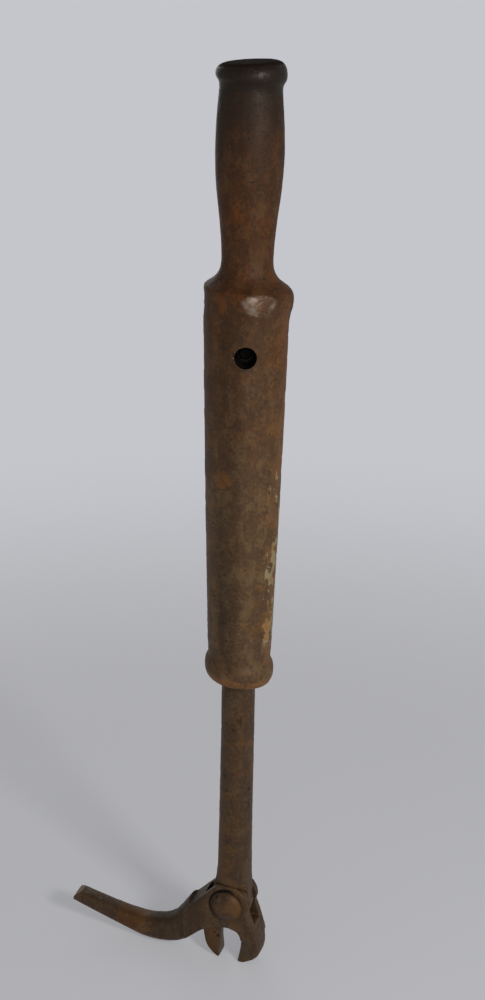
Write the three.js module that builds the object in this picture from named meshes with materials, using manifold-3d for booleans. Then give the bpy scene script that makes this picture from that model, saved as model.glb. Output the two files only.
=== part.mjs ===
// A sliding-handle nail puller. A heavy cast handle slides on a round pull rod and rams the open
// jaws into the wood on each side of a nail. Rocking the tool over its heel closes the jaws and
// draws the nail. The rod's lower end is a flat tongue that carries the fixed claw. It sits in the
// slot of the heel lever, which carries the moving jaw, and one big rivet joins the two.
//
// Millimetres. The rod's axis is Z, the heel points to -X and the rivet's made head faces -Y.
// Heights are measured from the rivet's centre, and the finished tool is then lowered so that the
// origin is the centre of the pommel's flat face.

import * as THREE from "three";
import { mergeVertices } from "three/addons/utils/BufferGeometryUtils.js";
import Module from "manifold-3d";

const wasm = await Module();
wasm.setup();

// ---------------------------------------------------------------- driving dimensions

const FIT = 0.4; // gap between pieces that touch or slide on each other
const AROUND = 48; // facets round a large turned surface
const DEGREE = Math.PI / 180;

// Handle, from the pommel down. Radii and heights above the rivet.
const POMMEL_FACE_Z = 443.4;
const POMMEL_FLAT_R = 10;
const POMMEL_R = 16.3;
const POMMEL_UNDERSIDE_Z = 434.5;
const GRIP_TOP_R = 14.3;
const GRIP_R = 15.8;
const GRIP_WIDEST_Z = 401.6;
const WAIST_R = 12.1;
const WAIST_Z = 354;
const SHOULDER_R = 22.8;
const SHOULDER_Z = 336.5;
const BARREL_TOP_R = 20.3;
const BARREL_TOP_Z = 325;
const BARREL_END_R = 15.9;
const BARREL_END_Z = 147.6;
const BEAD_END_Z = 146.9;
const BEAD_R = 17.7;
const BEAD_Z = 141.3;
const HANDLE_END_Z = 134.6;

// The bore inside the handle, which the rod's end runs in.
const BORE_R = 12;
const BORE_TOP_Z = 325;
const COLLAR_TOP_Z = 152;

// The hole through which the stop pin is driven once the rod is in the handle.
const ACCESS_HOLE_R = 5.4;
const ACCESS_HOLE_Z = 310;
const ACCESS_HOLE_TURN = 18 * DEGREE; // from the rivet's side towards +X

// Pull rod.
const ROD_X = 1.2; // the rod's axis passes this far from the rivet, away from the heel
const ROD_R = 8.85;
const ROD_TOP_Z = BORE_TOP_Z - FIT;
const ROD_END_R = 9.4; // the rod swells a little where it becomes the tongue
const ROD_SWELL_Z = 90;
const TONGUE_HALF = 4; // half thickness of the tongue
const TONGUE_R = 11.3;
const STOP_PIN_R = 3;
const STOP_PIN_LENGTH = 23;

// Pivot rivet.
const RIVET_R = 5;
const RIVET_HEAD_R = 9;
const RIVET_HEAD_RISE = 3.2;

// Heel lever: two cheeks round the rivet, the arm to the heel, and the moving jaw.
const CHEEK_R = 12.2;
const CHEEK_ARC_START = -14 * DEGREE;
const CHEEK_ARC_END = 136 * DEGREE;
const CHEEK_FACE = 9.5; // half thickness of the lever's head
const CHEEK_EDGE = 1.4; // rounding of the cheeks' edges
const SLOT_HALF = TONGUE_HALF + FIT;
const SLOT_R = 13.6;
const SLOT_FLOOR_Z = -11.2; // the moving jaw's shoulder, between the cheeks
const JAW_ROOT_Z = -14;
const KNUCKLE_R = CHEEK_R + 0.6; // hollow in the rod's end, round the cheeks
const JAW_TIP_Z = -37;
const CLAW_FACE_X = -5; // the fixed claw's gripping face
const JAW_TIP_X = 4.8; // the moving jaw's gripping edge, jaws open

const CUT_REACH = 20; // cutting bars reach this far out from the rod's axis on each side

// ---------------------------------------------------------------- shaping helpers

const at = (x, z) => new THREE.Vector2(x, z);

function toSolid(geometry) {
  const bare = geometry.index ? geometry.toNonIndexed() : geometry.clone();
  bare.deleteAttribute("normal");
  bare.deleteAttribute("uv");
  const merged = mergeVertices(bare, 1e-4);
  const corners = merged.index.array;
  const kept = [];
  for (let i = 0; i < corners.length; i += 3) {
    const [a, b, c] = [corners[i], corners[i + 1], corners[i + 2]];
    if (a !== b && b !== c && c !== a) kept.push(a, b, c);
  }
  return new wasm.Manifold(
    new wasm.Mesh({
      numProp: 3,
      vertProperties: merged.attributes.position.array,
      triVerts: new Uint32Array(kept),
    }),
  );
}

function toMesh(name, solid, material) {
  const { vertProperties, triVerts } = solid.getMesh();
  const geometry = new THREE.BufferGeometry();
  geometry.setAttribute("position", new THREE.BufferAttribute(vertProperties, 3));
  geometry.setIndex(new THREE.BufferAttribute(triVerts, 1));
  geometry.computeVertexNormals();
  const mesh = new THREE.Mesh(geometry, material);
  mesh.name = name;
  return mesh;
}

// Turns a profile of (radius, height) points, listed upwards on the outside, about the Z axis.
function turned(points, facets = AROUND) {
  const geometry = new THREE.LatheGeometry(points, facets);
  geometry.rotateX(Math.PI / 2);
  return geometry;
}

// A plain round bar along Z.
function roundBar(radius, low, high, facets = AROUND) {
  return turned([at(0, low), at(radius, low), at(radius, high), at(0, high)], facets);
}

// A round bar across the tool, turned from the rivet's side towards +X. It runs from `near` to
// `far`, measured from the axis that it crosses.
function crossBar(radius, near = -CUT_REACH, far = CUT_REACH, turn = 0, facets = 32) {
  const bar = roundBar(radius, near, far, facets);
  bar.rotateX(Math.PI / 2);
  bar.rotateZ(turn);
  return bar;
}

// An outline drawn in (x, z), given a thickness along Y with rounded edges.
function plate(outline, halfThickness, edge = 0) {
  const points = outline.getPoints(7);
  if (points[0].distanceTo(points[points.length - 1]) < 1e-6) points.pop();
  const geometry = new THREE.ExtrudeGeometry(new THREE.Shape(points), {
    depth: 2 * (halfThickness - edge),
    bevelEnabled: edge > 0,
    bevelThickness: edge,
    bevelSize: edge,
    bevelOffset: -edge,
    bevelSegments: 2,
  });
  geometry.translate(0, 0, -(halfThickness - edge));
  geometry.rotateX(Math.PI / 2);
  return geometry;
}

// A closed skin over a row of rings with equally many corners, with a flat cap on each end.
function skinned(rings) {
  const count = rings[0].length;
  const corners = rings.flat();
  const faces = [];
  for (let r = 0; r + 1 < rings.length; r++) {
    for (let i = 0; i < count; i++) {
      const a = r * count + i;
      const b = r * count + ((i + 1) % count);
      faces.push(a, b, b + count, a, b + count, a + count);
    }
  }
  [rings[0], rings[rings.length - 1]].forEach((ring, end) => {
    const middle = corners.length;
    const first = end * (rings.length - 1) * count;
    corners.push(ring.reduce((sum, p) => sum.add(p), new THREE.Vector3()).divideScalar(count));
    for (let i = 0; i < count; i++) {
      const a = first + i;
      const b = first + ((i + 1) % count);
      if (end) faces.push(middle, a, b);
      else faces.push(middle, b, a);
    }
  });
  const geometry = new THREE.BufferGeometry().setFromPoints(corners);
  geometry.setIndex(faces);
  return geometry;
}

// One ring of a bar with a rounded-square section: centre, two half-width vectors, squareness.
function sectionRing(centre, across, along, squareness, count = 28) {
  const ring = [];
  for (let i = 0; i < count; i++) {
    const angle = (2 * Math.PI * i) / count;
    const c = Math.cos(angle);
    const s = Math.sin(angle);
    const u = Math.sign(c) * Math.abs(c) ** (2 / squareness);
    const v = Math.sign(s) * Math.abs(s) ** (2 / squareness);
    ring.push(centre.clone().addScaledVector(across, u).addScaledVector(along, v));
  }
  return ring;
}

const mix = THREE.MathUtils.lerp;

// ---------------------------------------------------------------- handle

function handleProfile() {
  const outside = new THREE.Path();
  outside.moveTo(ROD_R + FIT, HANDLE_END_Z + 1);
  outside.lineTo(ROD_R + FIT + 1, HANDLE_END_Z);
  outside.lineTo(12.6, HANDLE_END_Z);
  outside.bezierCurveTo(15.8, HANDLE_END_Z, BEAD_R, 137.6, BEAD_R, BEAD_Z);
  outside.quadraticCurveTo(BEAD_R, 145.8, 16.65, BEAD_END_Z);
  outside.lineTo(BARREL_END_R, BARREL_END_Z);
  outside.quadraticCurveTo(18.5, 226, BARREL_TOP_R, BARREL_TOP_Z);
  outside.bezierCurveTo(20.6, 329.5, SHOULDER_R, 331.5, SHOULDER_R, SHOULDER_Z);
  outside.bezierCurveTo(SHOULDER_R, 340.2, 20.6, 341.4, 18.2, 343);
  outside.bezierCurveTo(15, 345.2, WAIST_R, 346.8, WAIST_R, WAIST_Z);
  outside.bezierCurveTo(WAIST_R, 371, GRIP_R, 382.7, GRIP_R, GRIP_WIDEST_Z);
  outside.bezierCurveTo(GRIP_R, 412, 15, 421, GRIP_TOP_R, 430.5);
  outside.quadraticCurveTo(GRIP_TOP_R, 434, 15.5, POMMEL_UNDERSIDE_Z);
  outside.quadraticCurveTo(POMMEL_R, 435, POMMEL_R, 437.8);
  outside.bezierCurveTo(POMMEL_R, 441.4, 14.6, 443.2, POMMEL_FLAT_R, POMMEL_FACE_Z);
  outside.lineTo(0, POMMEL_FACE_Z);
  return outside.getPoints(6);
}

function ramHandle() {
  const bore = [
    at(0, BORE_TOP_Z),
    at(BORE_R - 1.5, BORE_TOP_Z),
    at(BORE_R, BORE_TOP_Z - 1.5),
    at(BORE_R, COLLAR_TOP_Z),
    at(ROD_R + FIT, COLLAR_TOP_Z),
  ];
  const body = toSolid(turned([...bore, ...handleProfile()]));
  const drill = crossBar(ACCESS_HOLE_R, 0, 2 * SHOULDER_R, ACCESS_HOLE_TURN);
  drill.translate(0, 0, ACCESS_HOLE_Z);
  return body.subtract(toSolid(drill));
}

// ---------------------------------------------------------------- pull rod

// The round bar, its top edge broken and its lower end swelling towards the tongue.
function rodShank() {
  const low = KNUCKLE_R - 5;
  const straight = KNUCKLE_R + 6;
  return turned([
    at(0, low),
    at(ROD_END_R, low),
    at(ROD_END_R, straight),
    at(mix(ROD_END_R, ROD_R, 0.7), (straight + ROD_SWELL_Z) / 2),
    at(ROD_R, ROD_SWELL_Z),
    at(ROD_R, ROD_TOP_Z - 1.5),
    at(ROD_R - 1.5, ROD_TOP_Z),
    at(0, ROD_TOP_Z),
  ], 40);
}

function tongueOutline() {
  const outline = new THREE.Shape();
  const top = KNUCKLE_R + 8;
  const edge = ROD_END_R - 0.5;
  outline.moveTo(ROD_X - edge, top);
  outline.quadraticCurveTo(ROD_X - edge, 12, -TONGUE_R, 2);
  outline.lineTo(-15.4, -18);
  outline.lineTo(CLAW_FACE_X, -20);
  outline.quadraticCurveTo(-3, -12.4, 0, -TONGUE_R);
  outline.absarc(0, 0, TONGUE_R, -90 * DEGREE, 20 * DEGREE, false);
  outline.quadraticCurveTo(ROD_X + edge, 12, ROD_X + edge, top);
  outline.closePath();
  return outline;
}

// The claw narrows downwards to a chisel edge, with its gripping face upright.
function fixedClaw() {
  const rings = [];
  const steps = 9;
  for (let i = 0; i <= steps; i++) {
    const t = i / steps;
    const z = mix(JAW_ROOT_Z, JAW_TIP_Z, t);
    const back = mix(-15.8, CLAW_FACE_X - 1.4, t ** 4.4);
    const half = (CLAW_FACE_X - back) / 2;
    const centre = new THREE.Vector3((CLAW_FACE_X + back) / 2, 0, z);
    const depth = TONGUE_HALF + 1.4 * THREE.MathUtils.smoothstep(-z, 26, 32);
    rings.push(sectionRing(
      centre, new THREE.Vector3(0, depth, 0), new THREE.Vector3(half, 0, 0), 5, 24,
    ));
  }
  return skinned(rings);
}

function pullRod() {
  const shank = toSolid(rodShank().translate(ROD_X, 0, 0)).subtract(toSolid(crossBar(KNUCKLE_R)));
  const pinHole = crossBar(STOP_PIN_R + FIT / 2, -CUT_REACH, CUT_REACH, ACCESS_HOLE_TURN);
  pinHole.translate(ROD_X, 0, ACCESS_HOLE_Z);
  return shank
    .add(toSolid(plate(tongueOutline(), TONGUE_HALF)))
    .add(toSolid(fixedClaw()))
    .subtract(toSolid(pinHole))
    .subtract(toSolid(crossBar(RIVET_R + FIT)));
}

function stopPin() {
  const half = STOP_PIN_LENGTH / 2;
  const edge = 0.6;
  const pin = turned([
    at(0, -half),
    at(STOP_PIN_R - edge, -half),
    at(STOP_PIN_R, edge - half),
    at(STOP_PIN_R, half - edge),
    at(STOP_PIN_R - edge, half),
    at(0, half),
  ], 24);
  pin.rotateX(Math.PI / 2);
  pin.rotateZ(ACCESS_HOLE_TURN);
  pin.translate(0, 0, ACCESS_HOLE_Z);
  return toSolid(pin);
}

// ---------------------------------------------------------------- heel lever

// The cheeks' outline: round the rivet, then down the back of the arm's root, under it, over the
// arch between the jaws and down the moving jaw's back.
function cheekOutline() {
  const outline = new THREE.Shape();
  outline.absarc(0, 0, CHEEK_R, CHEEK_ARC_START, CHEEK_ARC_END, false);
  outline.lineTo(-20, -3);
  outline.quadraticCurveTo(-24.5, -7.6, -26.5, -13);
  outline.lineTo(-25, -28);
  outline.lineTo(-19.5, -24);
  outline.quadraticCurveTo(-11, -15, 0, -14.8);
  outline.quadraticCurveTo(7.2, -14.8, 7.6, -21);
  outline.lineTo(17.4, -21);
  const start = at(CHEEK_R, 0).rotateAround(at(0, 0), CHEEK_ARC_START);
  outline.quadraticCurveTo(15.4, -12, start.x, start.y);
  return outline;
}

// The heel arm: a tapering rounded bar that dips from the cheeks and rises to its blunt end.
function heelArm() {
  const line = new THREE.SplineCurve([
    at(-17, -9), at(-29, -24), at(-45, -28.9), at(-63.6, -26), at(-92.4, -18),
  ]);
  const rings = [];
  const steps = 16;
  for (let i = 0; i <= steps; i++) {
    const t = i / steps;
    const point = line.getPoint(t);
    const way = line.getTangent(t);
    const normal = new THREE.Vector3(-way.y, 0, way.x);
    const high = mix(8.6, 3.4, t ** 1.7);
    const wide = mix(5.6, 9.3, (1 - t) * (1 - t));
    const centre = new THREE.Vector3(point.x, 0, point.y);
    rings.push(sectionRing(
      centre, new THREE.Vector3(0, wide, 0), normal.multiplyScalar(high), 2.9,
    ));
  }
  return skinned(rings);
}

// The moving jaw narrows downwards and inwards to its gripping edge.
function movingJaw() {
  const rings = [];
  const steps = 9;
  for (let i = 0; i <= steps; i++) {
    const t = i / steps;
    const z = mix(JAW_ROOT_Z, JAW_TIP_Z, t);
    const inner = mix(8, JAW_TIP_X, t ** 1.6);
    const outer = mix(16 + 2.6 * Math.sin(t * 2.4), 9.5, t ** 7);
    const half = (outer - inner) / 2;
    const centre = new THREE.Vector3((outer + inner) / 2, 0, z);
    const depth = mix(CHEEK_FACE, 6, t);
    rings.push(sectionRing(
      centre, new THREE.Vector3(0, depth, 0), new THREE.Vector3(half, 0, 0), 4.5, 32,
    ));
  }
  return skinned(rings);
}

// The slot between the cheeks, for the tongue and the claw as the lever swings.
function slotOutline() {
  const outline = new THREE.Shape();
  outline.moveTo(-SLOT_R, 30);
  outline.lineTo(-SLOT_R, 0);
  outline.lineTo(-18.6, -15);
  outline.lineTo(-22.5, -26);
  outline.lineTo(-22.5, -45);
  outline.lineTo(3, -45);
  outline.lineTo(6, SLOT_FLOOR_Z);
  outline.lineTo(30, SLOT_FLOOR_Z);
  outline.lineTo(30, 30);
  outline.closePath();
  return outline;
}

function heelLever() {
  return toSolid(plate(cheekOutline(), CHEEK_FACE, CHEEK_EDGE))
    .add(toSolid(heelArm()))
    .add(toSolid(movingJaw()))
    .subtract(toSolid(plate(slotOutline(), SLOT_HALF)))
    .subtract(toSolid(crossBar(RIVET_R + FIT)));
}

// ---------------------------------------------------------------- pivot rivet

function pivotRivet() {
  const seat = CHEEK_FACE + FIT;
  const head = new THREE.Path();
  head.moveTo(RIVET_R, seat);
  head.lineTo(RIVET_HEAD_R - 0.6, seat);
  head.quadraticCurveTo(RIVET_HEAD_R, seat, RIVET_HEAD_R, seat + 0.7);
  head.quadraticCurveTo(RIVET_HEAD_R - 1, seat + RIVET_HEAD_RISE, 3, seat + RIVET_HEAD_RISE);
  head.lineTo(0, seat + RIVET_HEAD_RISE);
  const upper = head.getPoints(4);
  const lower = upper.map((p) => at(p.x, -p.y)).reverse();
  const rivet = turned([...lower, ...upper], 40);
  rivet.rotateX(Math.PI / 2);
  return toSolid(rivet);
}

// ---------------------------------------------------------------- the tool

function rustyIron(color, roughness, metalness) {
  return new THREE.MeshStandardMaterial({ color, roughness, metalness });
}

const onRodAxis = new THREE.Group();
onRodAxis.position.x = ROD_X;
onRodAxis.add(
  toMesh("ram_handle", ramHandle(), rustyIron(0x59452f, 0.72, 0.45)),
  toMesh("stop_pin", stopPin(), rustyIron(0x3c3026, 0.7, 0.5)),
);

const tool = new THREE.Group();
tool.position.set(-ROD_X, 0, -POMMEL_FACE_Z);
tool.add(
  onRodAxis,
  toMesh("pull_rod", pullRod(), rustyIron(0x5f4b35, 0.74, 0.4)),
  toMesh("heel_lever", heelLever(), rustyIron(0x66492f, 0.78, 0.35)),
  toMesh("pivot_rivet", pivotRivet(), rustyIron(0x6b4a2c, 0.75, 0.35)),
);

const puller = new THREE.Group();
puller.add(tool);
export default puller;
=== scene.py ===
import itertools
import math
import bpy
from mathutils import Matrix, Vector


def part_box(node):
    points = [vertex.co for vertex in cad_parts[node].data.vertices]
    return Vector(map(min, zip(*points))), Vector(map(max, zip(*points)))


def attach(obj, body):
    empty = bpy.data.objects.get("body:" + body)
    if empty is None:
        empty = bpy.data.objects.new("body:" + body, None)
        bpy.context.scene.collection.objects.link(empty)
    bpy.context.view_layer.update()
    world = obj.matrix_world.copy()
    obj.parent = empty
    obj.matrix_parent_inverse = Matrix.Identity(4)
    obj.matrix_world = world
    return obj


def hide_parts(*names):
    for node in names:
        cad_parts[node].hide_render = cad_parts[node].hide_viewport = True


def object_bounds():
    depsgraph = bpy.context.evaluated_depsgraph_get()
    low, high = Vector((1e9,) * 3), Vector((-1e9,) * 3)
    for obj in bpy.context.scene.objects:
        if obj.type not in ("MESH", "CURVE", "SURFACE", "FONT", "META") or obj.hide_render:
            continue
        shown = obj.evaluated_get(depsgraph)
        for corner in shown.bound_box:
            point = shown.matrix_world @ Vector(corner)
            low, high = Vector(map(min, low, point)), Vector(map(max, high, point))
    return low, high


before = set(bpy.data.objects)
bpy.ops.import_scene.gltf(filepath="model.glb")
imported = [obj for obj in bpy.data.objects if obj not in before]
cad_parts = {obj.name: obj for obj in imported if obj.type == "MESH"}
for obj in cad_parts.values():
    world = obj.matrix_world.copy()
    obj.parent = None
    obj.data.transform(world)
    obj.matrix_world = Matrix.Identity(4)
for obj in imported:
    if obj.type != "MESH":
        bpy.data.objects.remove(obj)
CAD_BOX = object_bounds()

# An old nail puller in rusty iron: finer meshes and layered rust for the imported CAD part, on a
# pale floor. The frame is the CAD's own, in metres: +Z runs up along the tool, the pommel's
# face lies at Z = 0, the heel points to -X and the front to -Y.

from types import SimpleNamespace

import bmesh
import bpy
import numpy as np
from mathutils import Matrix, Vector
from mathutils.bvhtree import BVHTree

MM = 0.001
DEGREE = math.pi / 180

# ---------------------------------------------------------------- driving values

# The handle's mesh, turned from its outline.
HANDLE_STEP = 0.7 * MM
HANDLE_AROUND = 164
HANDLE_ROUNDS = 60
BORE_STEP = 4 * MM

# The forgings' meshes: spacing, and how many rounds of smoothing soften the edges.
ROD_MESH = (0.56 * MM, 6)
LEVER_MESH = (0.42 * MM, 5)
RIVET_MESH = (0.34 * MM, 4)
PIN_MESH = (0.34 * MM, 3)

# Rust pits in the forgings: depth, size and seed.
ROD_PITS = (0.22 * MM, 4 * MM, 40)
LEVER_PITS = (0.24 * MM, 3.6 * MM, 60)
RIVET_PITS = (0.16 * MM, 2.6 * MM, 80)
PIN_PITS = (0.1 * MM, 2 * MM, 90)

# The access hole's cut, and the clearing up after it.
BARREL_WALL = 16 * MM  # this far out along the hole lies the barrel's wall
DRILL_DEPTH = 30 * MM
DRILL_FACETS = 40
DOUBLES_REACH = 0.01 * MM
SAME_PLACE = 1e-6
SHARP_FROM = 40 * DEGREE

# Bands on the handle: from, to and fading over, in millimetres down from the pommel's face.
SMOOTH_GRIP = (0, 85, 10)
BULGE = (98, 118, 2)
WORN_DOWN = (100, 113, 4)
SHOULDER_AT = 106.9
CREST = (SHOULDER_AT - 4, SHOULDER_AT + 4, 4)
# Painted shade in the hollow of the waist above the shoulder, whose upward slope gets less light.
SHADED_WAIST = (97, 102, 4)
LOW_BARREL = (265, 303, 20)
BEAD_EDGE = (304, 310, 2)

# Changes on the handle: each runs from the first height to the second, in millimetres down.
POMMEL_ROUND = (2, 8)
POMMEL_EDGE = (9, 14)
# The grip darkens towards the pommel over this band: partly hand grease, partly painted shade for the
# weaker light near the top.
DARK_GRIP = (5, 90)
LESS_HANDLED = (95, 118)
NOT_HANDLED = (120, 235)
THICK_DEPOSIT = (222, 245)
CROOKED_BORE = (290, 300)

# Patches on the handle: a band in degrees round from the front, and one in millimetres down.
DEPOSIT = ((64, 92, 10), (195, 278, 12))
# The orange on the right side is orange rust, and also painted warm light falling on that side.
ORANGE_LIT_SIDE = ((82, 110, 32), (100, 295, 20))
# These two patches are painted shade: the barrel's left side and its front get less light.
SHADED_LEFT = ((-95, -30, 35), (235, 290, 25))
SHADED_FRONT = ((-12, 6, 25), (120, 292, 18))

# Spots on the handle: millimetres down, degrees round, millimetres across.
ORANGE_SPOTS = ((108, -17, 9), (195, -13, 8))
# This spot is painted shade, low on the barrel's front left.
SHADE_SPOT = (265, -14, 20)

# How far each kind of relief stands out of the handle, or goes in.
SKIN_OUT = 0.3 * MM
FLAKE_OUT = 0.3 * MM
WAVE_DEEP = 0.22 * MM
SCALE_DEEP = 0.16 * MM
GRAIN_DEEP = 0.10 * MM
PIT_DEEP = 0.25 * MM
LOW_PIT_DEEPER = 0.1 * MM
RIM_DEEP = 0.3 * MM
RIM_REACH = (-0.3 * MM, 1.3 * MM)
BULGE_SIDE = (-2 * MM, 17 * MM)

# The handle was cast from a crooked pattern, so its rings dip to one side and sink.
DIP_TURN = 108 * DEGREE
CROOKED_AT = (0, 9, 40, 95, 112, 150, 260, 295, 309)
DIP_DEGREES = (-3.5, 3.1, 1, 1.5, 1.5, 0, 2, 4.9, 4.9)
SINK = (0.7, 0.2, 0, 1.2, 1.2, 0, 0, 0.4, 0.4)

# The shoulder's front was worn to a flat, which crosses its crest this far from the axis.
BLOW_TURN = 34 * DEGREE
BLOW_LIFT = 9 * DEGREE
BLOW_DOWN = 107.3 * MM
CREST_R = 20.3 * MM
BARE_FROM = (0.02 * MM, 0.35 * MM)

# Heights on the rod, in millimetres up from the claw's tip.
CLAW_END = (15, 21)
# Over these heights the claw darkens towards its tip.
CLAW_DARKER = (0, 26)
ROD_FLAKES = (20, 75, 10)
ROD_STREAKS = (60, 110)
ROD_ORANGE = (90, 150)
HIDDEN_FROM = (170, 192)
ROD_TOP = (318, 330)
SCALLOP_REACH = 18 * MM  # the rod is smoother this near the rivet, where the cheeks rub it

# Distances along the lever, in millimetres from the heel's tip.
HEEL_TIP = 6
HEEL_FACET_TO = 14
HEEL_WORN_TO = (18, 34)
HEEL_PALE_TO = (22, 34)
HEEL_HANDLED = (31, 37, 6)
HEEL_ORANGE = (32, 44, 8)
BEND_EDGE = (48, 78, 8)
BEND_GRIME = (50, 76, 8)
JAW_ORANGE = (75, 90)
HEEL_FACET_WAY = np.array([-0.5, 0, 0.87])

# Rings round the rivet, in millimetres from its axis: the cheek's rim, and a crescent in it, which is
# pressed in and painted dark as the rivet head's shadow.
CHEEK_RIM = (11.2, 13, 0.3)
RIM_OUT = 0.45 * MM
CRESCENT = (8.5, 9.9, 0.7)
CRESCENT_DEEP = 0.9 * MM

# The rivet's heads, measured from its middle.
HEAD_R = 9 * MM
HEAD_FROM = 10.1 * MM
DOME = 1.7 * MM
HAMMER_BLOWS = 7
HAMMERED_AT = 12.6 * MM
HAMMER_SPREAD = 4 * MM
HAMMER_TILT = 0.45

# Bumps in the materials.
RUST_BUMP = 0.35 * MM
BORE_BUMP = 0.3 * MM

# The camera, turned and raised from the tool's front, with the tool leaning in its picture.
VIEW_TURN = 18 * DEGREE
VIEW_RISE = 20.8 * DEGREE
VIEW_LEAN = 1.21 * DEGREE
VIEW_DISTANCE = 791 * MM
VIEW_DOWN = 211.3 * MM  # what the camera looks at lies this far below the pommel's face
LENS = 57.6
NEAREST = 0.01

# The studio.
BACKDROP = (0.56, 0.565, 0.60)
FLOOR_TONE = (0.8, 0.8, 0.82)
FLOOR_HALF = 1.2
FLOOR_FADES = (0.25, 0.9)
AMBIENT_FRONT = (0.54, 0.525, 0.505)
AMBIENT_BACK = (0.36, 0.355, 0.345)
AMBIENT_HIGH = (0.20, 0.20, 0.205)
AMBIENT_TURN = VIEW_TURN + 10 * DEGREE
LAMPS = (  # name, degrees round from the camera, degrees up, metres away, metres wide, watts
    ("key", 36, 24, 1.1, 0.22, 5.8),
    ("fill", 10, 10, 1.5, 1.0, 2),
    ("back", 190, 14, 1.3, 0.9, 3),
)

# ---------------------------------------------------------------- noise and masks

LATTICE_SIZE = 48
LATTICE = np.random.RandomState(11).uniform(-1, 1, (LATTICE_SIZE,) * 3)
SEED_SHIFT = 7.31


def lumps(points, size, seed=0):
    """Smooth noise from -1 to 1 at each point, with lumps about `size` across."""
    place = points / size + SEED_SHIFT * seed
    cell = np.floor(place).astype(int)
    part = place - cell
    part = part * part * (3 - 2 * part)
    total = np.zeros(len(points))
    for corner in itertools.product((0, 1), repeat=3):
        weight = np.prod(np.where(corner, part, 1 - part), axis=1)
        i, j, k = ((cell + corner) % LATTICE_SIZE).T
        total += weight * LATTICE[i, j, k]
    return total


def ragged(points, size, seed=0, octaves=4):
    """Noise with ever finer detail on it."""
    return sum(lumps(points, size / 2**n, seed + 3 * n) / 1.7**n for n in range(octaves))


def rise(values, low, high):
    """0 below low, 1 above high, smooth between."""
    t = np.clip((values - low) / (high - low), 0, 1)
    return t * t * (3 - 2 * t)


def band(values, low, high, soft):
    """1 between low and high, falling to 0 over `soft` outside them."""
    return rise(values, low - soft, low) * (1 - rise(values, high, high + soft))


def heading(turn, lift=0.0):
    """The direction turned from -Y towards +X, and lifted from level."""
    level = math.cos(lift)
    return np.array([math.sin(turn) * level, -math.cos(turn) * level, math.sin(lift)])


def press_flat(co, point, normal, keep=0.12):
    """How far each point has to go back to lie on a plane, if it stands beyond it."""
    return np.maximum((co - point) @ normal, 0) * (1 - keep)


# ---------------------------------------------------------------- meshes


def merged(node):
    """The CAD node's surface as a bmesh, with its split corners joined."""
    surface = bmesh.new()
    surface.from_mesh(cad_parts[node].data)
    bmesh.ops.remove_doubles(surface, verts=surface.verts, dist=SAME_PLACE)
    return surface


def linked(name, data):
    """A new object in the scene that shows the given mesh, lamp or camera."""
    piece = bpy.data.objects.new(name, data)
    bpy.context.scene.collection.objects.link(piece)
    return piece


def applied(piece):
    """Puts the piece's modifiers into its mesh."""
    evaluated = piece.evaluated_get(bpy.context.evaluated_depsgraph_get())
    mesh = bpy.data.meshes.new_from_object(evaluated)
    piece.modifiers.clear()
    piece.data = mesh
    return piece


def refined(name, node, cell, rounds):
    """An evenly and finely meshed copy of a CAD node, its edges softened as on an old forging."""
    surface = merged(node)
    mesh = bpy.data.meshes.new(name)
    surface.to_mesh(mesh)
    surface.free()
    piece = linked(name, mesh)
    remesh = piece.modifiers.new("even", "REMESH")
    remesh.mode = "VOXEL"
    remesh.voxel_size = cell
    soften = piece.modifiers.new("soften", "SMOOTH")
    soften.factor = 0.5
    soften.iterations = rounds
    return applied(piece)


def corners_of(mesh):
    co = np.empty(3 * len(mesh.vertices))
    mesh.vertices.foreach_get("co", co)
    return co.reshape(-1, 3)


def normals_of(mesh):
    normals = np.empty(3 * len(mesh.vertices))
    mesh.vertex_normals.foreach_get("vector", normals)
    return normals.reshape(-1, 3)


def move_to(mesh, co):
    mesh.vertices.foreach_set("co", np.ascontiguousarray(co).ravel())
    mesh.update()


def hold(mesh, **masks):
    """Stores each mask on the mesh's points, where the rust material reads it."""
    for name, values in masks.items():
        mesh.attributes.new(name, "FLOAT", "POINT").data.foreach_set(
            "value", np.clip(values, 0, 1).astype(np.float32)
        )


def smooth_shaded(mesh):
    mesh.polygons.foreach_set("use_smooth", [True] * len(mesh.polygons))
    mesh.update()


def pitted(co, normals, depth, size, seed):
    """Eats rust scale and pits into a forging, inwards only."""
    scale = rise(ragged(co, 2.6 * size, seed), 0.0, 0.35)
    pits = rise(ragged(co, size, seed + 5, 3), 0.55, 1.1)
    pits *= rise(lumps(co, 6 * size, seed + 9), -0.4, 0.3)
    grain = 0.5 + 0.5 * lumps(co, 0.5 * size, seed + 2)
    broad = 0.5 + 0.5 * lumps(co, 7 * size, seed + 1)
    relief = -depth * (0.5 * broad + 0.45 * (1 - scale) + 0.3 * grain + 1.0 * pits)
    return co + normals * relief[:, None], pits


# ---------------------------------------------------------------- the handle's mesh


def handle_outline():
    """(radius, height) along one side of the CAD handle, from the pommel's middle into the bore."""
    surface = merged("ram_handle")
    side = {v for v in surface.verts if abs(v.co.x) < SAME_PLACE < v.co.y}
    here = max(side, key=lambda v: (round(v.co.z, 6), v.co.y))
    outline = [(0, here.co.z)]
    while here:
        outline.append((here.co.y, here.co.z))
        side.discard(here)
        nexts = [e.other_vert(here) for e in here.link_edges]
        here = next((v for v in nexts if v in side), None)
    outline.append((0, outline[-1][1]))
    surface.free()
    return np.array(outline)


def evenly(line, step):
    """Points along a line, about `step` apart, ends kept."""
    along = np.concatenate([[0], np.cumsum(np.linalg.norm(np.diff(line, axis=0), axis=1))])
    count = max(int(along[-1] / step), 1) + 1
    at = np.linspace(0, along[-1], count)
    return np.column_stack([np.interp(at, along, line[:, 0]), np.interp(at, along, line[:, 1])])


def softened(line, rounds):
    """The line with its corners eased, ends kept."""
    for _ in range(rounds):
        line = line.copy()
        line[1:-1] = (line[:-2] + 2 * line[1:-1] + line[2:]) / 4
    return line


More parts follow.
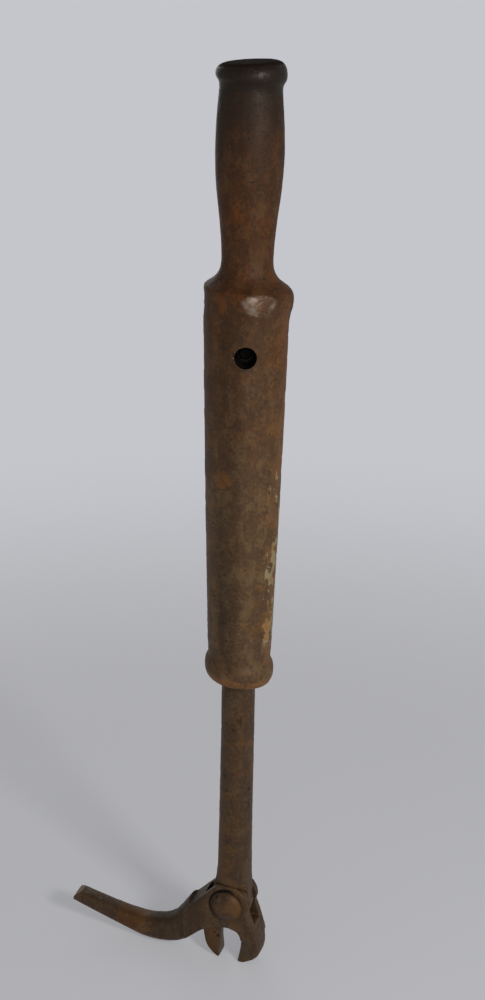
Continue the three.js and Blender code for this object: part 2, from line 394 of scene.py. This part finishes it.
def handle_lines():
    """The handle's outline in fine even steps: its outside, then its bore."""
    outline = handle_outline()
    foot = int(np.argmin(outline[:, 1]))
    outside = softened(evenly(outline[: foot + 1], HANDLE_STEP / 4), HANDLE_ROUNDS)
    pairs = (outline[i:i + 2] for i in range(foot, len(outline) - 1))
    inside = np.vstack([evenly(pair, BORE_STEP)[1:] for pair in pairs])
    return evenly(outside, HANDLE_STEP), inside


def turned_mesh(name, line, around):
    """A closed surface turned about the Z axis from a line that starts and ends on the axis."""
    angles = 2 * math.pi * np.arange(around) / around
    rings = line[1:-1]
    x = np.outer(rings[:, 0], np.sin(angles))
    y = np.outer(rings[:, 0], -np.cos(angles))
    z = np.outer(rings[:, 1], np.ones(around))
    co = np.stack([x, y, z], axis=-1).reshape(-1, 3)
    co = np.vstack([co, [0, 0, line[0, 1]], [0, 0, line[-1, 1]]])
    first, last = len(co) - 2, len(co) - 1
    faces = []
    for i in range(around):
        j = (i + 1) % around
        faces.append((first, i, j))
        for row in range(len(rings) - 1):
            a, b = row * around + i, row * around + j
            faces.append((a, a + around, b + around, b))
        end = (len(rings) - 1) * around
        faces.append((end + i, last, end + j))
    mesh = bpy.data.meshes.new(name)
    mesh.from_pydata(co.tolist(), [], faces)
    mesh.validate()
    return mesh


def mended(mesh):
    """Clears up after a cut: joins doubled points and splits faces of many corners."""
    surface = bmesh.new()
    surface.from_mesh(mesh)
    bmesh.ops.remove_doubles(surface, verts=surface.verts, dist=DOUBLES_REACH)
    bmesh.ops.triangulate(surface, faces=[f for f in surface.faces if len(f.verts) > 4])
    surface.to_mesh(mesh)
    surface.free()


def drill(piece, hole, material):
    """Cuts the access hole into the handle, with its walls in a material."""
    cutter = bmesh.new()
    bmesh.ops.create_cone(
        cutter, cap_ends=True, segments=DRILL_FACETS,
        radius1=hole.radius, radius2=hole.radius, depth=DRILL_DEPTH,
    )
    turn = hole.way.to_track_quat("Z", "Y").to_matrix().to_4x4()
    middle = Matrix.Translation(hole.point + hole.way * DRILL_DEPTH / 2)
    bmesh.ops.transform(cutter, matrix=middle @ turn, verts=cutter.verts)
    mesh = bpy.data.meshes.new("drill")
    cutter.to_mesh(mesh)
    cutter.free()
    mesh.materials.append(material)
    tool = linked("drill", mesh)
    cut = piece.modifiers.new("cut", "BOOLEAN")
    cut.operation = "DIFFERENCE"
    cut.object = tool
    cut.solver = "EXACT"
    cut.material_mode = "TRANSFER"
    applied(piece)
    bpy.data.objects.remove(tool)
    mended(piece.data)


def access_hole():
    """The stop pin's access hole in the handle: a point on its axis, its direction and radius."""
    pin_co = corners_of(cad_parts["stop_pin"].data)
    middle = (pin_co.min(axis=0) + pin_co.max(axis=0)) / 2
    way = np.linalg.svd(pin_co - middle, full_matrices=False)[2][0]
    way = Vector(way if way[1] < 0 else -way)
    surface = merged("ram_handle")
    tree = BVHTree.FromBMesh(surface)
    surface.free()
    in_wall = Vector(middle) + way * BARREL_WALL
    radius = tree.ray_cast(in_wall, Vector((0, 0, 1)))[3]
    return SimpleNamespace(point=Vector(middle), way=way, radius=radius)


# ---------------------------------------------------------------- the handle's relief and masks


def patch(at, turned, down):
    """1 on a patch of the handle, given by its bands round and down."""
    return band(at.turn, *turned) * band(at.down, *down)


def spot(at, down, turn, across):
    """1 at a place on the handle given in mm down and degrees round, ragged and fading out."""
    beside = at.co @ heading((turn + 90) * DEGREE)
    near = np.hypot(beside, at.co[:, 2] + down * MM)
    near += 0.45 * across * MM * ragged(at.co, across * MM, 37, 3)
    this_side = at.co @ heading(turn * DEGREE) > 0
    return this_side * (1 - rise(near, 0.15 * across * MM, 0.75 * across * MM))


def near_hole(co, hole):
    """1 at the access hole's edge, fading out over its rim."""
    off = co - np.array(hole.point)
    along = off @ np.array(hole.way)
    apart = np.linalg.norm(off - np.outer(along, hole.way), axis=1)
    inner, outer = RIM_REACH
    return (along > 0) * (1 - rise(apart, hole.radius + inner, hole.radius + outer))


def handle_places(co, hole):
    """Where each point of the handle lies, and what is found there."""
    at = SimpleNamespace(co=co)
    at.down = -co[:, 2] / MM
    at.turn = np.arctan2(co[:, 0], -co[:, 1]) / DEGREE
    at.aside = co @ heading(DIP_TURN)
    at.across_blow = co @ heading(BLOW_TURN + 90 * DEGREE)
    at.rim = near_hole(co, hole)
    at.crest = band(at.down, *CREST)
    at.low_barrel = band(at.down, *LOW_BARREL)
    at.pits = rise(ragged(co, 3.0 * MM, 6, 3), 0.6, 1.2) * rise(lumps(co, 22 * MM, 8), -0.3, 0.4)
    thick = 0.75 * rise(at.down, *THICK_DEPOSIT)
    flaky = ragged(co * [1, 1, 0.6], 3.4 * MM, 14) + thick
    at.flakes = rise(flaky, 0.05, 0.8) * patch(at, *DEPOSIT)
    return at


def handle_relief(at):
    """How far the cast skin stands out from the CAD's surface, or in where it is negative."""
    rough = 1 - 0.6 * band(at.down, *SMOOTH_GRIP)
    scale = rise(ragged(at.co, 9 * MM, 2), 0.05, 0.35)
    radius = np.hypot(at.co[:, 0], at.co[:, 1])
    bulge = np.maximum(radius - CREST_R, 0) * band(at.down, *BULGE)
    skin = rise(at.down, *POMMEL_ROUND) * (1 - band(at.down, *WORN_DOWN))
    return (
        SKIN_OUT * skin
        - WAVE_DEEP * (0.5 + 0.5 * lumps(at.co, 30 * MM, 1))
        - SCALE_DEEP * rough * (1 - scale)
        - GRAIN_DEEP * rough * (0.5 + 0.5 * lumps(at.co, 2.2 * MM, 4))
        - (PIT_DEEP + LOW_PIT_DEEPER * at.low_barrel) * at.pits * rough
        - RIM_DEEP * at.rim
        - bulge * rise(-at.aside, *BULGE_SIDE)
        + FLAKE_OUT * at.flakes
    )


def worn_flat(moved, at):
    """Moves the shoulder's front back to a flat, and tells how far each point went."""
    blow = heading(BLOW_TURN, BLOW_LIFT)
    middle = blow * CREST_R - np.array([0, 0, BLOW_DOWN])
    facet = press_flat(moved, middle, blow) * at.outer * at.crest
    moved -= np.outer(facet, blow)
    return facet


def crooked(moved, at):
    """Dips and sinks the handle's rings as its crooked pattern had them."""
    share = np.maximum(at.outer, rise(at.down, *CROOKED_BORE))
    dip = np.tan(np.interp(at.down, CROOKED_AT, DIP_DEGREES) * DEGREE)
    sink = np.interp(at.down, CROOKED_AT, SINK) * MM
    moved[:, 2] -= share * (dip * at.aside + sink)


def shoulder_wear(facet, at):
    """Bare iron on the worn flat, with slanting scratches in it, and a little on the crest."""
    slanted = np.column_stack([
        0.2 * at.across_blow - 0.14 * at.down * MM,
        at.down * MM + 0.7 * at.across_blow,
        np.zeros(len(facet)),
    ])
    scratches = ragged(slanted, 1.3 * MM, 24, 3)
    side = rise(at.across_blow, -3 * MM, 6 * MM)
    flat = rise(facet, *BARE_FROM) * (0.56 + 0.3 * scratches - 0.14 * side)
    return flat + 0.2 * at.crest * rise(ragged(at.co, 8 * MM, 21), 0.3, 0.7)


def handle_orange_and_light(at):
    """Where fresh orange rust comes through, and painted warm light on the handle's right side."""
    return (
        0.4 * patch(at, *ORANGE_LIT_SIDE)
        + 0.4 * rise(ragged(at.co, 16 * MM, 34), 0.35, 0.9)
        + sum(spot(at, *place) for place in ORANGE_SPOTS)
        + 0.7 * band(at.down, *BEAD_EDGE)
    )


def handle_grime(at):
    """Where grease and soiling darken the handle, most of all its pommel, and where shade is painted:
    up the grip together with grease, in the waist, on the barrel's left and front, in a spot low on it
    and round the access hole.
    """
    return (
        1 - rise(at.down, *POMMEL_EDGE)
        # grip darker towards the top: hand grease, and painted shade for the weaker light up there
        + 0.75 * (1 - rise(at.down, *DARK_GRIP))
        + 0.15 * band(at.down, *SHADED_WAIST)
        + 0.15 * patch(at, *SHADED_LEFT)
        + 0.42 * patch(at, *SHADED_FRONT)
        + 0.4 * spot(at, *SHADE_SPOT)
        + 0.3 * at.pits * (0.5 + at.low_barrel)
        # painted shade round the access hole's edge
        + 0.5 * at.rim
    )


def handled_skin(at):
    """Where hands have oiled the rust: all of the grip, fading away down the barrel."""
    faded = 0.35 * rise(at.down, *LESS_HANDLED) + 0.65 * rise(at.down, *NOT_HANDLED)
    return 1 - faded - 0.15 * lumps(at.co, 18 * MM, 27)


def handle():
    """One crooked casting, turned from the CAD's outline, with the access hole drilled in it."""
    outside, inside = handle_lines()
    mesh = turned_mesh("ram_handle_cast", np.vstack([outside, inside]), HANDLE_AROUND)
    co = corners_of(mesh)
    hole = access_hole()
    at = handle_places(co, hole)
    at.outer = np.zeros(len(co))
    at.outer[: (len(outside) - 2) * HANDLE_AROUND] = 1
    at.outer[-2] = 1

    moved = co + normals_of(mesh) * (handle_relief(at) * at.outer)[:, None]
    facet = worn_flat(moved, at)
    crooked(moved, at)
    move_to(mesh, moved)
    hold(
        mesh,
        wear=shoulder_wear(facet, at),
        pale=at.flakes,
        orange=handle_orange_and_light(at),
        handled=handled_skin(at),
        grime=handle_grime(at),
    )
    smooth_shaded(mesh)

    piece = linked("ram_handle_cast", mesh)
    bore = shaded_bore()
    mesh.materials.append(rusty("cast_rust"))
    mesh.materials.append(bore)
    deep = [int(not at.outer[face.vertices[0]]) for face in mesh.polygons]
    mesh.polygons.foreach_set("material_index", deep)
    drill(piece, hole, bore)
    piece.data.set_sharp_from_angle(angle=SHARP_FROM)
    return piece


# ---------------------------------------------------------------- rod, lever, rivet and pin


def rivet_middle():
    low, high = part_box("pivot_rivet")
    return np.array((low + high) / 2)


def rod():
    """The round rod with its tongue and fixed claw."""
    piece = refined("pull_rod_forged", "pull_rod", *ROD_MESH)
    mesh = piece.data
    co = corners_of(mesh)
    up = (co[:, 2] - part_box("pull_rod")[0].z) / MM
    moved, pits = pitted(co, normals_of(mesh), *ROD_PITS)
    calm = 1 - 0.8 * (np.linalg.norm(co - rivet_middle(), axis=1) < SCALLOP_REACH)
    move_to(mesh, co + (moved - co) * calm[:, None])

    side = np.arctan2(co[:, 0], -co[:, 1])
    streak = lumps(co * np.array([1, 1, 0.12]), 3 * MM, 47)
    # Painted highlight: the claw's faces towards +X, where the light falls, are made bright like worn
    # iron.
    painted_lit_claw_face = rise(normals_of(mesh)[:, 0], 0.4, 0.8) * (1 - rise(up, *CLAW_END))
    hidden = rise(up, *HIDDEN_FROM)
    hold(
        mesh,
        wear=0.3 * rise(streak, 0.3, 0.9) * rise(up, *ROD_STREAKS) + 0.7 * painted_lit_claw_face + 0.25 * hidden,
        pale=0.5 * rise(ragged(co, 2.2 * MM, 52), 0.7, 1.0) * band(up, *ROD_FLAKES),
        orange=0.5 * rise(-side, -0.2, 0.9) * (1 - rise(up, *ROD_ORANGE))
        + 0.3 * rise(streak, -0.2, 0.6),
        grime=0.6 * pits + 0.5 * (1 - rise(up, *CLAW_DARKER)) + 0.5 * hidden + 0.5 * rise(up, *ROD_TOP),
    )
    smooth_shaded(mesh)
    return piece


def cheek_shape(co, moved):
    """Rounds out the front cheek's rim, and presses a crescent into the cheek beside the rivet; the
    crescent it returns is painted dark on the lever as the rivet head's shadow.
    """
    from_rivet = co - rivet_middle()
    apart = np.hypot(from_rivet[:, 0], from_rivet[:, 2])
    outward = from_rivet * [1, 0, 1] / apart[:, None]
    upper = (from_rivet[:, 2] > 0) * (from_rivet[:, 0] > -6 * MM)
    moved += outward * (RIM_OUT * band(apart / MM, *CHEEK_RIM) * upper)[:, None]
    left = rise(from_rivet[:, 2] - 2 * from_rivet[:, 0], 0, 9 * MM) * (co[:, 1] < -8 * MM)
    crescent = band(apart / MM, *CRESCENT) * left
    moved[:, 1] += CRESCENT_DEEP * crescent
    return crescent


def heel_facet(moved, out):
    """Grinds the heel's tip to a slanting facet, and tells how far each point went."""
    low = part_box("heel_lever")[0]
    top = moved[out < HEEL_TIP, 2].max()
    corner = np.array([low.x + 5 * MM, 0, top - 0.4 * MM])
    facet = press_flat(moved, corner, HEEL_FACET_WAY) * (out < HEEL_FACET_TO)
    moved -= np.outer(facet, HEEL_FACET_WAY)
    return facet


def lever():
    """The heel arm with its two cheeks and the moving claw."""
    piece = refined("heel_lever_forged", "heel_lever", *LEVER_MESH)
    mesh = piece.data
    co = corners_of(mesh)
    normals = normals_of(mesh)
    out = (co[:, 0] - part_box("heel_lever")[0].x) / MM
    moved, pits = pitted(co, normals, *LEVER_PITS)
    crescent = cheek_shape(co, moved)
    facet = heel_facet(moved, out)
    move_to(mesh, moved)

    low_edge = rise(-normals[:, 1], 0.25, 0.6) * rise(-normals[:, 2], 0.3, 0.6)
    low_edge *= band(out, *BEND_EDGE) * rise(ragged(co, 5 * MM, 66), -0.5, 0.3)
    hold(
        mesh,
        wear=0.6 * rise(facet, 0.1 * MM, 0.5 * MM) + 0.4 * (1 - rise(out, *HEEL_WORN_TO))
        + 0.6 * low_edge,
        pale=0.12 * (1 - rise(out, *HEEL_PALE_TO)) + 0.3 * low_edge,
        orange=1.2 * band(out, *HEEL_ORANGE) * rise(ragged(co, 9 * MM, 71), -0.4, 0.5)
        + 0.1 * rise(out, *JAW_ORANGE),
        handled=0.5 * band(out, *HEEL_HANDLED) * rise(ragged(co, 8 * MM, 73), -0.5, 0.5),
        # The crescent beside the rivet is painted dark as the shadow of the rivet's head.
        grime=0.6 * pits + 0.35 * band(out, *BEND_GRIME) + crescent,
    )
    smooth_shaded(mesh)
    return piece


def hammered(co, middle):
    """The rivet's heads domed, then flattened here and there by hammer blows."""
    apart = np.hypot(co[:, 0] - middle[0], co[:, 2] - middle[2])
    deep = np.abs(co[:, 1])
    domed = np.maximum(deep - DOME * (apart / HEAD_R) ** 2.4, HEAD_FROM)
    co[:, 1] = np.where(deep > HEAD_FROM, np.sign(co[:, 1]) * domed, co[:, 1])
    for i, (x, z) in enumerate(np.random.RandomState(5).uniform(-1, 1, (HAMMER_BLOWS, 2))):
        face = -1 if i % 2 else 1
        point = middle + np.array([x * HAMMER_SPREAD, face * HAMMERED_AT, z * HAMMER_SPREAD])
        blow = np.array([HAMMER_TILT * x, face, HAMMER_TILT * z])
        blow /= np.linalg.norm(blow)
        co = co - np.outer(press_flat(co, point, blow), blow)
    return co


def rivet():
    """The rivet through cheeks and tongue, with a hammered head on each side."""
    piece = refined("pivot_rivet_hammered", "pivot_rivet", *RIVET_MESH)
    mesh = piece.data
    middle = rivet_middle()
    co = hammered(corners_of(mesh), middle)
    move_to(mesh, co)
    moved, pits = pitted(co, normals_of(mesh), *RIVET_PITS)
    move_to(mesh, moved)
    right = co[:, 0] - middle[0]
    hold(
        mesh,
        wear=0.3 * rise(ragged(co, 3 * MM, 86), 0.3, 0.9),
        # Painted light and shade on the domed head: orange on its right side for the light falling
        # there, darker on its left side as painted shade; the rest is random rust and pits.
        orange=0.7 * rise(right, 0, 7 * MM) + 0.3 * rise(ragged(co, 7 * MM, 84), -0.2, 0.6),
        grime=0.7 * pits + 0.5 * rise(-right, 2 * MM, 8.5 * MM),
    )
    smooth_shaded(mesh)
    return piece


def pin():
    """The cross pin through the rod's top, in the near-black painted shade of the bore it runs in."""
    piece = refined("stop_pin_driven", "stop_pin", *PIN_MESH)
    mesh = piece.data
    moved, _ = pitted(corners_of(mesh), normals_of(mesh), *PIN_PITS)
    move_to(mesh, moved)
    smooth_shaded(mesh)
    mesh.materials.append(shaded_bore())
    return piece


# ---------------------------------------------------------------- materials


class Nodes:
    """Short words for building the nodes of a material, or of the world."""

    def __init__(self, owner):
        owner.use_nodes = True
        self.owner = owner
        self.tree = owner.node_tree
        self.tree.nodes.clear()
        kind = "Generated" if isinstance(owner, bpy.types.World) else "Object"
        self.place = self.make("ShaderNodeTexCoord").outputs[kind]

    def make(self, kind, inputs=(), **settings):
        node = self.tree.nodes.new(kind)
        for key, value in settings.items():
            setattr(node, key, value)
        for key, value in dict(inputs).items():
            self.feed(node.inputs[key], value)
        return node

    def feed(self, socket, value):
        if isinstance(value, bpy.types.NodeSocket):
            self.tree.links.new(value, socket)
        else:
            socket.default_value = value

    def noise(self, size, detail=4, rough=0.6, distortion=0.0, stretch=(1, 1, 1), seed=0):
        """Noise with features about `size` millimetres across, centred on 0.5."""
        place = self.make(
            "ShaderNodeMapping",
            {"Vector": self.place, "Scale": stretch, "Location": (seed, 1.7 * seed, 0.6 * seed)},
        ).outputs[0]
        return self.make(
            "ShaderNodeTexNoise",
            {"Vector": place, "Scale": 1 / (size * MM), "Detail": detail,
             "Roughness": rough, "Distortion": distortion},
        ).outputs["Fac"]

    def mask(self, name):
        return self.make("ShaderNodeAttribute", attribute_name=name).outputs["Fac"]

    def step(self, value, low, high):
        """0 below low, 1 above high, smooth between."""
        return self.make(
            "ShaderNodeMapRange",
            {"Value": value, "From Min": low, "From Max": high},
            interpolation_type="SMOOTHSTEP",
        ).outputs[0]

    def sum(self, *values):
        total = values[0]
        for value in values[1:]:
            total = self.make("ShaderNodeMath", {0: total, 1: value}, operation="ADD").outputs[0]
        return total

    def times(self, a, b):
        return self.make("ShaderNodeMath", {0: a, 1: b}, operation="MULTIPLY").outputs[0]

    def mix(self, share, a, b, blend="MIX"):
        node = self.make("ShaderNodeMix", data_type="RGBA", blend_type=blend)
        self.feed(node.inputs["Factor"], share)
        for key, value in (("A", a), ("B", b)):
            socket = next(s for s in node.inputs if s.name == key and s.type == "RGBA")
            self.feed(socket, value if isinstance(value, bpy.types.NodeSocket) else (*value, 1))
        return next(s for s in node.outputs if s.type == "RGBA")

    def blend(self, share, a, b):
        node = self.make("ShaderNodeMix", data_type="FLOAT")
        self.feed(node.inputs["Factor"], share)
        self.feed(node.inputs["A"], a)
        self.feed(node.inputs["B"], b)
        return node.outputs[0]

    def height_of(self, vector):
        return self.make("ShaderNodeSeparateXYZ", {0: vector}).outputs["Z"]

    def finish(self, shader, kind="Material"):
        self.make(f"ShaderNodeOutput{kind}", {"Surface": shader.outputs[0]})
        return self.owner


def tone(red, green, blue):
    """A colour given in screen values, as the linear values the shader works in."""
    return tuple(
        v / 12.92 if v <= 0.04045 else ((v + 0.055) / 1.055) ** 2.4
        for v in (red / 255, green / 255, blue / 255)
    )


DARK_SCALE = tone(70, 50, 34)
BROWN_RUST = tone(88, 64, 38)
TAN_RUST = tone(102, 80, 53)
ORANGE_RUST_AND_LIGHT = tone(120, 81, 38)
RED_RUST = tone(100, 56, 30)
PIT = tone(40, 29, 21)
GREASE_AND_SHADE = tone(26, 21, 18)
PALE_FLAKE = tone(136, 126, 98)
YELLOW_FLAKE = tone(140, 98, 42)
BARE_IRON_AND_HIGHLIGHT = tone(98, 87, 77)
BORE_SHADE_DARK = tone(9, 7, 6)
BORE_SHADE_BROWN = tone(24, 18, 14)
SPECKLE_DARK = (0.55, 0.52, 0.5)
SPECKLE_LIGHT = (1.3, 1.28, 1.25)
SHEEN = (1, 0.88, 0.76)
HANDLED = (0.66, 0.49, 0.42)  # oil and sweat darken and redden the rust by these shares


def rust_noises(n):
    """The patterns that the rust's colour and bump share, from broad to fine."""
    return SimpleNamespace(
        broad=n.noise(9, 4, 0.6, 0.3, seed=1.3),
        blotch=n.noise(6, 6, 0.65, 0.4, seed=2.1),
        streak=n.noise(6, 4, 0.65, stretch=(1, 1, 0.6), seed=7.2),
        fleck=n.noise(1.6, 5, 0.7, seed=3.7),
        grain=n.noise(0.5, 4, 0.7, seed=5.9),
    )


def dry_rust(n, at, orange, warm, light):
    """Dark scale under brown, tan, orange and red rust, with fine speckles all over; the orange mask
    also brings in painted warm light, and `light` multiplies the whole colour, as painted shade where
    it is below 1.
    """
    patchy = n.sum(n.times(at.blotch, 0.7), n.times(at.fleck, 0.6))
    colour = n.mix(n.step(patchy, 0.5, 0.8), DARK_SCALE, BROWN_RUST)
    dusty = n.step(n.sum(at.streak, n.times(at.fleck, 0.4)), 0.66, 0.85)
    colour = n.mix(n.times(dusty, 0.8), colour, TAN_RUST)
    orange_and_light_share = n.sum(n.times(orange, 0.26), n.times(at.broad, 0.55), n.times(at.fleck, 0.35), warm)
    colour = n.mix(n.times(n.step(orange_and_light_share, 0.45, 0.68), 0.75), colour, ORANGE_RUST_AND_LIGHT)
    spots = n.step(n.sum(n.noise(3.2, 3, 0.6, seed=9.4), n.times(orange, 0.1)), 0.62, 0.7)
    colour = n.mix(n.times(spots, 0.6), colour, RED_RUST)
    speckle = n.mix(n.step(at.grain, 0.3, 0.75), SPECKLE_DARK, SPECKLE_LIGHT)
    colour = n.mix(0.45, colour, speckle, "MULTIPLY")
    return n.mix(1.0, colour, (light, light, light), "MULTIPLY")


def rust_layers(n, at, grime, pale, wear):
    """Where pits, grease and painted shade, lime flakes, and worn iron and painted highlights cover
    the rust, from 0 to 1.
    """
    crusty = n.sum(n.times(pale, 0.7), at.fleck)
    holes = n.sum(n.noise(2.2, 4, 0.6, seed=11.8), n.times(grime, 0.1))
    grease_and_shade = n.sum(n.times(grime, 1.3), n.times(at.blotch, 0.4))
    bare_and_highlight = n.sum(wear, n.times(at.fleck, 0.5))
    return SimpleNamespace(
        holes=n.step(holes, 0.64, 0.72),
        grease_and_shade=n.step(grease_and_shade, 0.3, 1.4),
        crusty=n.step(crusty, 0.75, 1.05),
        bare_and_highlight=n.step(bare_and_highlight, 0.6, 1.1),
    )


def layered(n, colour, on):
    """The rust's colour with its pits, grease and painted shade, flakes, and worn iron and painted
    highlights laid over it.
    """
    colour = n.mix(n.times(on.holes, 0.7), colour, PIT)
    colour = n.mix(n.times(on.grease_and_shade, 0.92), colour, GREASE_AND_SHADE)
    yellow = n.step(n.noise(7, 3, 0.6, seed=13.1), 0.48, 0.62)
    flake = n.mix(yellow, PALE_FLAKE, YELLOW_FLAKE)
    colour = n.mix(n.times(on.crusty, 0.85), colour, flake)
    return n.mix(n.times(on.bare_and_highlight, 0.9), colour, BARE_IRON_AND_HIGHLIGHT)


def rusty(name, warm=0.0, light=1.0):
    """Rust in several layers, steered by the masks that the mesh holds, which carry painted light and
    shade besides the rust's own marks; `light` below 1 darkens it all as painted shade.
    """
    n = Nodes(bpy.data.materials.new(name))
    wear, pale, orange, grime = (n.mask(m) for m in ("wear", "pale", "orange", "grime"))
    handled = n.mask("handled")
    at = rust_noises(n)
    on = rust_layers(n, at, grime, pale, wear)
    dry = dry_rust(n, at, orange, warm, light)
    colour = layered(n, n.mix(handled, dry, HANDLED, "MULTIPLY"), on)

    upward = n.height_of(n.make("ShaderNodeNewGeometry").outputs["Normal"])
    dust = n.times(n.step(upward, 0.6, 0.95), on.grease_and_shade)
    rough = n.blend(n.step(on.grease_and_shade, 0.8, 1.0), n.blend(at.blotch, 0.42, 0.66), 0.36)
    rough = n.blend(dust, n.blend(on.bare_and_highlight, rough, 0.42), 0.95)
    gloss = n.blend(dust, n.blend(n.sum(on.grease_and_shade, handled), 0.34, 0.2), 0.06)
    height = n.sum(
        at.blotch, n.times(at.fleck, 0.45), n.times(at.grain, 0.16),
        n.times(on.holes, -0.6), n.times(on.crusty, 0.5),
    )
    bump = n.make("ShaderNodeBump", {"Height": height, "Strength": 0.5, "Distance": RUST_BUMP})
    return n.finish(n.make(
        "ShaderNodeBsdfPrincipled",
        {"Base Color": colour, "Roughness": rough, "Metallic": n.times(on.bare_and_highlight, 0.6),
         "Normal": bump.outputs[0], "Specular IOR Level": gloss, "Specular Tint": (*SHEEN, 1)},
    ))


def shaded_bore():
    """Near-black painted shade for the inside of the handle, mottled."""
    n = Nodes(bpy.data.materials.new("shaded_bore"))
    bore_mottle = n.noise(4, 4, 0.6, seed=15.2)
    colour = n.mix(n.step(bore_mottle, 0.4, 0.65), BORE_SHADE_DARK, BORE_SHADE_BROWN)
    bump = n.make("ShaderNodeBump", {"Height": bore_mottle, "Strength": 0.4, "Distance": BORE_BUMP})
    return n.finish(n.make(
        "ShaderNodeBsdfPrincipled",
        {"Base Color": colour, "Roughness": n.blend(bore_mottle, 0.6, 0.9),
         "Normal": bump.outputs[0], "Specular IOR Level": 0.12},
    ))


# ---------------------------------------------------------------- studio


def floor_material():
    """Pale near the tool, fading away with distance into the pale background."""
    n = Nodes(bpy.data.materials.new("pale_floor"))
    far = n.make("ShaderNodeVectorMath", {0: n.place}, operation="LENGTH").outputs["Value"]
    matt = n.make("ShaderNodeBsdfDiffuse", {"Color": (*FLOOR_TONE, 1)})
    glow = n.make("ShaderNodeEmission", {"Color": (*BACKDROP, 1), "Strength": 0.8})
    pale = n.make("ShaderNodeMixShader", {0: 0.5, 1: matt.outputs[0], 2: glow.outputs[0]})
    clear = n.make("ShaderNodeBsdfTransparent")
    gone = n.step(far, *FLOOR_FADES)
    return n.finish(n.make("ShaderNodeMixShader", {0: gone, 1: pale.outputs[0], 2: clear.outputs[0]}))


def floor():
    grid = bmesh.new()
    bmesh.ops.create_grid(grid, x_segments=2, y_segments=2, size=FLOOR_HALF)
    mesh = bpy.data.meshes.new("floor")
    grid.to_mesh(mesh)
    grid.free()
    mesh.materials.append(floor_material())
    piece = linked("floor", mesh)
    piece.location.z = CAD_BOX[0].z


def backdrop():
    """A pale background for the camera, and soft light on the tool, mostly from the front."""
    world = bpy.data.worlds.new("studio")
    bpy.context.scene.world = world
    n = Nodes(world)
    front = Vector(heading(AMBIENT_TURN))
    facing = n.make("ShaderNodeVectorMath", {0: n.place, 1: front}, operation="DOT_PRODUCT")
    light = n.mix(n.step(facing.outputs["Value"], -0.5, 0.6), AMBIENT_BACK, AMBIENT_FRONT)
    light = n.mix(n.step(n.height_of(n.place), 0.0, 0.8), light, AMBIENT_HIGH)
    seen = n.make("ShaderNodeLightPath").outputs["Is Camera Ray"]
    n.finish(n.make("ShaderNodeBackground", {"Color": n.mix(seen, light, BACKDROP)}), "World")


def lamp(name, turn, lift, distance, size, watts):
    """A soft square lamp round the tool, aimed at its middle."""
    data = bpy.data.lights.new(name, "AREA")
    data.size = size
    data.energy = watts
    piece = linked(name, data)
    middle = (CAD_BOX[0] + CAD_BOX[1]) / 2
    away = Vector(heading(VIEW_TURN + turn * DEGREE, lift * DEGREE))
    piece.location = middle + away * distance
    piece.visible_camera = False
    piece.rotation_euler = (-away).to_track_quat("-Z", "Y").to_euler()


def camera():
    """The camera, looking down at the tool from its front right."""
    data = bpy.data.cameras.new("camera")
    data.lens = LENS
    data.clip_start = NEAREST
    piece = linked("camera", data)
    bpy.context.scene.camera = piece
    back = Vector(heading(VIEW_TURN, VIEW_RISE))
    right = (-back).cross(Vector((0, 0, 1))).normalized()
    up = right.cross(-back)
    lean = Matrix.Rotation(VIEW_LEAN, 3, back)
    target = Vector((0, 0, CAD_BOX[1].z - VIEW_DOWN))
    turn = Matrix((lean @ right, lean @ up, back)).transposed()
    piece.matrix_world = Matrix.Translation(target + back * VIEW_DISTANCE) @ turn.to_4x4()


# ---------------------------------------------------------------- assembly

PARTS = (  # what builds the piece, the CAD node it stands for, the body it rides on, its slot
    (handle, "ram_handle", "handle", "cast_handle"),
    (rod, "pull_rod", "rod", "forged_rod"),
    (lever, "heel_lever", "lever", "forged_lever"),
    (rivet, "pivot_rivet", "rod", "rivet"),
    (pin, "stop_pin", "rod", "pin"),
)
# The forgings' rust is darkened by `light` as painted shade, for the weaker light on the rod and
# lever.
forged = rusty("forged_rust", warm=0.02, light=0.58)
for build, node, body, slot in PARTS:
    piece = build()
    if not piece.data.materials:
        piece.data.materials.append(forged)
    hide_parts(node)
    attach(piece, body)

floor()
backdrop()
for settings in LAMPS:
    lamp(*settings)
camera()
bpy.context.scene.view_settings.view_transform = "Standard"
